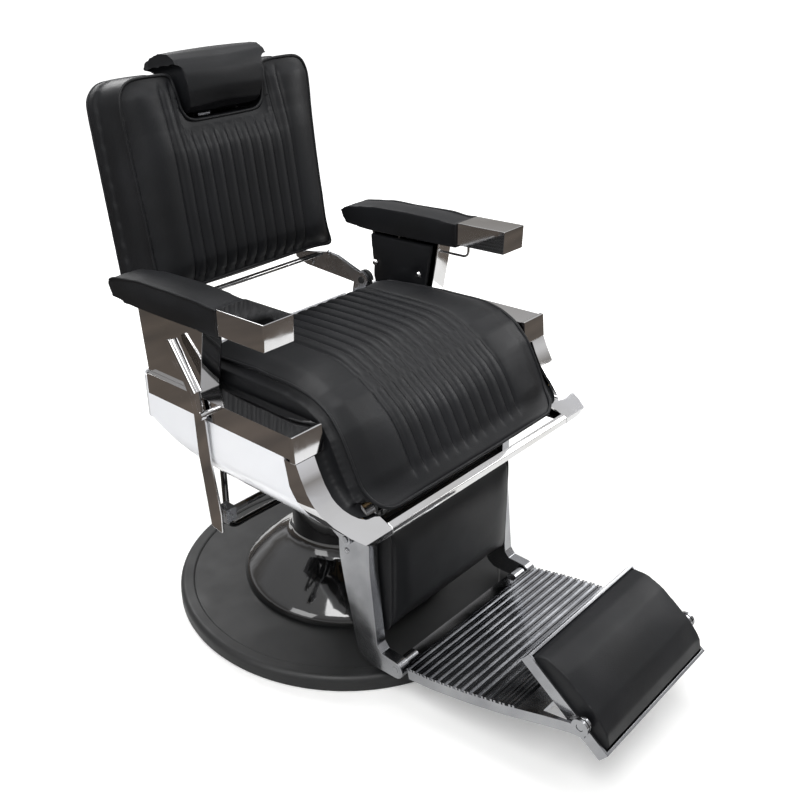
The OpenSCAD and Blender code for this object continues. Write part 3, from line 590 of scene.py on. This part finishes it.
# arm pads and linings, the linings drawn in round their screws
arm = {"voxel": 0.0045, "cap": 0.010, "shrink": 0.004, "outer": 0.342, "welt": 0.0026}
lined = {
    "voxel": 0.0035, "cap": 0.004, "shrink": 0.002,
    "screws": ((0.026, 0.598), (0.146, 0.602)), "dimpleDeep": 0.0035, "dimpleWide": 0.014,
}
for tag, side in (("r", -1), ("l", 1)):
    pad = copyOfNodes(["arm_pad_" + tag], "armPad_" + tag)
    inflate(
        pad,
        arm["voxel"],
        arm["cap"],
        arm["shrink"],
        lambda p, n: (p[:, 1] < -0.068) | ((p[:, 2] < 0.68) & (n[:, 2] < -0.6)),
    )
    finishPiece(pad, "seat", "leather", ["arm_pad_" + tag])
    edge = [(side * arm["outer"], y, z) for y, z in (
        (-0.071, 0.724), (-0.020, 0.728), (0.060, 0.731), (0.150, 0.728), (0.225, 0.719), (0.243, 0.711))]
    edge += [(side * x, 0.249, 0.706) for x in (0.336, 0.318, 0.296, 0.276)]
    layPiping("armPiping_" + tag, edge, pad, "seat", radius=arm["welt"])
    lining = copyOfNodes(["arm_lining_" + tag], "armLining_" + tag)
    inflate(lining, lined["voxel"], lined["cap"], lined["shrink"], lambda p, n: np.abs(p[:, 0]) > 0.286)
    points, normals = readPoints(lining), readNormals(lining)
    for y, z in lined["screws"]:
        away = np.hypot(points[:, 1] - y, points[:, 2] - z)
        inner = np.abs(points[:, 0]) < 0.284
        dimple = lined["dimpleDeep"] * np.exp(-((away / lined["dimpleWide"]) ** 2))
        points[:, 0] += side * dimple * inner
    writePoints(lining, points)
    finishPiece(lining, "seat", "leather", ["arm_lining_" + tag])
print("arms padded")

# calf pad
calf = {
    "voxel": 0.005, "cap": 0.010, "shrink": 0.004, "seamIn": 0.013, "seamWide": 0.0028, "seamDeep": 0.0022,
}
calfPad = copyOfNodes(["calf_pad"], "calfPad")
inflate(calfPad, calf["voxel"], calf["cap"], calf["shrink"], lambda p, n: p[:, 1] > -0.256)
low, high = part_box("calf_pad")
points, normals = readPoints(calfPad), readNormals(calfPad)
inset = np.minimum(high.x - np.abs(points[:, 0]), np.minimum(points[:, 2] - low.z, high.z - points[:, 2]))
groove = calf["seamDeep"] * np.exp(-(((inset - calf["seamIn"]) / calf["seamWide"]) ** 2))
groove *= smoothStep(-normals[:, 1], 0.3, 0.8)
writePoints(calfPad, points - normals * groove[:, None])
finishPiece(calfPad, "leg_rest", "leather", ["calf_pad"])

# foot cushion
foot = {"voxel": 0.0045, "cap": 0.024, "shrink": 0.003, "pressure": 12.0, "slope": 37}
footTurn = Matrix.Rotation(math.radians(foot["slope"]), 4, "X")
footFrame = Matrix.Translation(jointPlace["foot_pad_flip"]) @ footTurn
footInverse = np.array(footFrame.inverted())
footCushion = copyOfNodes(["foot_cushion"], "footCushion")
inflate(
    footCushion,
    foot["voxel"],
    foot["cap"],
    foot["shrink"],
    lambda p, n: (p @ footInverse[:3, :3].T + footInverse[:3, 3])[:, 2] < -0.004,
    pressure=foot["pressure"],
)
finishPiece(footCushion, "foot_pad", "leather", ["foot_cushion"])
print("leg rest padded")


# metal pieces
def eased(node, newName, width, sharp=30, smoothTo=40):
    # a CAD piece with its edges broken, as pressing, casting or buffing leaves them
    piece = copyOfNodes([node], newName)
    bpy.ops.object.mode_set(mode="EDIT")
    bpy.ops.mesh.select_all(action="SELECT")
    bpy.ops.mesh.dissolve_limited(angle_limit=math.radians(0.6))
    bpy.ops.object.mode_set(mode="OBJECT")
    bevel = piece.modifiers.new("edges", "BEVEL")
    bevel.width, bevel.segments = width, 2
    bevel.limit_method, bevel.angle_limit = "ANGLE", math.radians(sharp)
    bevel.use_clamp_overlap = True
    weighted = piece.modifiers.new("normals", "WEIGHTED_NORMAL")
    weighted.keep_sharp = True
    pick(piece)
    bpy.ops.object.modifier_apply(modifier="edges")
    bpy.ops.object.shade_smooth_by_angle(angle=math.radians(smoothTo))
    bpy.ops.object.modifier_apply(modifier="normals")
    return finishPiece(piece, nodes[node]["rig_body"], slotOf[node], [node])


# how far each edge is broken, in metres: the first table's pieces come in pairs
edgeWidths = {
    "side_rail": 0.0012, "rail_cap": 0.0015, "front_band": 0.0015, "arm_cover": 0.0010, "arm_cap": 0.0016,
    "side_panel": 0.0012, "leg_arm": 0.0022,
}
for base, width in edgeWidths.items():
    for tag in ("r", "l"):
        eased(base + "_" + tag, base.title().replace("_", "") + "_" + tag, width)
for name, width in {
    "front_bar": 0.0012, "rear_panel": 0.0012, "footplate": 0.0011, "foot_tray": 0.0020,
    "back_brackets": 0.0010,
    "lift_bar": 0.0018, "lift_shaft": 0.0020, "pivot_uprights": 0.0010, "recline_link": 0.0010,
}.items():
    eased(name, name.title().replace("_", ""), width)
for name in ("base_dome", "base_rim", "base_plate"):
    eased(name, name.title().replace("_", ""), 0.0008, sharp=50, smoothTo=60)
print("metal edges eased")


def boltHead(name, place, outward, radius, body):
    # a round steel head with a drawn-in crown, facing outward
    bpy.ops.object.select_all(action="DESELECT")
    bpy.ops.mesh.primitive_cylinder_add(vertices=32, radius=radius, depth=radius * 0.7)
    head = bpy.context.view_layer.objects.active
    head.name = name
    for vertex in head.data.vertices:
        if vertex.co.z > 0:
            vertex.co.x *= 0.72
            vertex.co.y *= 0.72
    bevel = head.modifiers.new("edges", "BEVEL")
    bevel.width, bevel.segments = radius * 0.16, 3
    applyModifiers(head)
    head.data.transform(Vector(outward).to_track_quat("Z", "Y").to_matrix().to_4x4())
    head.data.transform(Matrix.Translation(place))
    bpy.ops.object.shade_smooth_by_angle(angle=math.radians(40))
    return finishPiece(head, body, "steel")


for tag, side in (("r", -1), ("l", 1)):
    boltHead("legArmBolt_" + tag, (side * 0.2055, -0.209, 0.266), (side, 0, 0), 0.0062, "leg_rest")
    for count, (y, z) in enumerate(((0.229, 0.624), (0.281, 0.593))):
        boltHead("bracketBolt" + str(count) + "_" + tag, (side * 0.2155, y, z), (-side, 0, 0), 0.0058, "back")
# the bright strip under the back: its (y, z) section in the back's own axes, drawn out across it
section = [(0.002, -0.001), (0.002, -0.006), (0.006, -0.008), (0.022, -0.008), (0.022, -0.001)]
stripHalf = 0.205
bpy.ops.object.select_all(action="DESELECT")
bpy.ops.mesh.primitive_circle_add(vertices=len(section), fill_type="NGON")
strip = bpy.context.view_layer.objects.active
strip.name = "backStrip"
for vertex, (y, z) in zip(strip.data.vertices, section):
    vertex.co = (-stripHalf, y, z)
bpy.ops.object.mode_set(mode="EDIT")
bpy.ops.mesh.select_all(action="SELECT")
bpy.ops.mesh.extrude_region_move(TRANSFORM_OT_translate={"value": (2 * stripHalf, 0, 0)})
bpy.ops.mesh.select_all(action="SELECT")
bpy.ops.mesh.normals_make_consistent(inside=False)
bpy.ops.object.mode_set(mode="OBJECT")
bevel = strip.modifiers.new("edges", "BEVEL")
bevel.width, bevel.segments = 0.0008, 2
applyModifiers(strip)
strip.data.transform(backFrame)
finishPiece(strip, "back", "chrome")
print("small fittings done")


# floor, light and air
studio = {
    "floor": "#f3f3f2", "floorWarm": "#f6f6f5", "surround": "#5b5148", "surroundDark": "#3c352f",
    "floorSize": 80.0, "sweepRadius": 1.0, "sweepPlace": (0.3, -0.3, 0.0),
}
bpy.ops.object.select_all(action="DESELECT")
bpy.ops.mesh.primitive_plane_add(size=studio["floorSize"], location=(0, 0, -0.0005))
floor = bpy.context.view_layer.objects.active
floor.name = "studioFloor"
floorMaterial, tree, shader, place = startMaterial("matPaperSweep", Roughness=0.9, IOR=1.3)
paper = tinted(tree, varied(tree, place, 0.5, 0.0, 1.0), studio["floor"], studio["floorWarm"])
tree.links.new(paper, shader.inputs["Base Color"])
# the paper sweep glows a little more with distance, so that it stays evenly pale away from the lights
outward = addNode(tree, "ShaderNodeVectorMath", {0: place}, operation="LENGTH").outputs["Value"]
glow = addNode(
    tree,
    "ShaderNodeMapRange",
    {"Value": outward, "From Min": 0.6, "From Max": 3.2, "To Min": 0.22, "To Max": 0.95},
)
seen = addNode(tree, "ShaderNodeLightPath").outputs["Is Camera Ray"]
amount = addNode(tree, "ShaderNodeMath", {0: glow.outputs["Result"], 1: seen}, operation="MULTIPLY")
tree.links.new(amount.outputs[0], shader.inputs["Emission Strength"])
shader.inputs["Emission Color"].default_value = (1, 1, 1, 1)
floor.data.materials.append(floorMaterial)

# dark boards round the sweep, which only polished surfaces see
bpy.ops.object.select_all(action="DESELECT")
bpy.ops.mesh.primitive_circle_add(vertices=96, radius=studio["sweepRadius"], location=(0, 0, 0.0))
boards = bpy.context.view_layer.objects.active
boards.name = "studioBoards"
boards.location = studio["sweepPlace"]
bpy.ops.object.mode_set(mode="EDIT")
bpy.ops.mesh.select_all(action="SELECT")
bpy.ops.mesh.extrude_edges_move()
bpy.ops.transform.resize(value=(9, 9, 1))
bpy.ops.object.mode_set(mode="OBJECT")
boardMaterial, tree, shader, place = startMaterial("stainedFloorBoards", Roughness=0.8)
grain = varied(tree, place, 0.12, 0.0, 1.0, 5.0, stretch=(0.15, 1.0, 1.0))
tree.links.new(tinted(tree, grain, studio["surroundDark"], studio["surround"]), shader.inputs["Base Color"])
boards.data.materials.append(boardMaterial)
boards.visible_camera = boards.visible_diffuse = boards.visible_shadow = False


def softLight(name, place, aim, size, power):
    data = bpy.data.lights.new(name, "AREA")
    data.shape, data.size, data.size_y = "RECTANGLE", size[0], size[1]
    data.energy = power
    lamp = bpy.data.objects.new(name, data)
    scene.collection.objects.link(lamp)
    lamp.location = place
    lamp.rotation_euler = (Vector(aim) - Vector(place)).to_track_quat("-Z", "Y").to_euler()


softLight("keyBox", (-1.7, -1.3, 2.9), (0, -0.1, 0.5), (1.5, 1.5), 60)
softLight("topBox", (0.3, 0.2, 3.2), (0, -0.1, 0.5), (1.8, 1.8), 46)
softLight("sideBox", (2.4, -1.2, 1.9), (0, -0.2, 0.5), (1.4, 1.4), 28)
softLight("fillBox", (-2.6, 0.1, 1.3), (-0.34, 0, 0.46), (1.2, 1.2), 16)
softLight("rearBox", (0.5, 2.4, 2.2), (0, 0.1, 0.6), (1.4, 1.2), 30)

# the air is white to the eye, and to everything else a dark room with a bright ceiling
world = bpy.data.worlds.new("studioAir")
scene.world = world
world.use_nodes = True
tree = world.node_tree
tree.nodes.clear()
direction = addNode(tree, "ShaderNodeTexCoord").outputs["Generated"]
upward = addNode(tree, "ShaderNodeSeparateXYZ", {"Vector": direction}).outputs["Z"]
ramp = addNode(tree, "ShaderNodeValToRGB", {"Fac": upward})
for place, colour in (
    (0.0, "#3a332d"), (0.12, "#4a423b"), (0.26, "#a09d9a"), (0.45, "#dddddf"), (1.0, "#f4f4f6"),
):
    if place in (0.0, 1.0):
        stop = ramp.color_ramp.elements[int(place)]
    else:
        stop = ramp.color_ramp.elements.new(place)
    stop.color = toLinear(colour)
rays = addNode(tree, "ShaderNodeLightPath").outputs
seenBy = rays["Is Camera Ray"]
mirrored = addNode(
    tree, "ShaderNodeMapRange", {"Value": rays["Is Glossy Ray"], "To Min": 0.4, "To Max": 0.95}
)
shownAir = addNode(tree, "ShaderNodeBackground", {"Color": (1, 1, 1, 1), "Strength": 1.0})
litAir = addNode(
    tree, "ShaderNodeBackground", {"Color": ramp.outputs["Color"], "Strength": mirrored.outputs["Result"]}
)
mixedAir = addNode(
    tree, "ShaderNodeMixShader", {0: seenBy, 1: litAir.outputs[0], 2: shownAir.outputs[0]}
)
addNode(tree, "ShaderNodeOutputWorld", {"Surface": mixedAir.outputs[0]})
scene.view_settings.view_transform = "Standard"
scene.view_settings.look = "None"
print("studio lit")
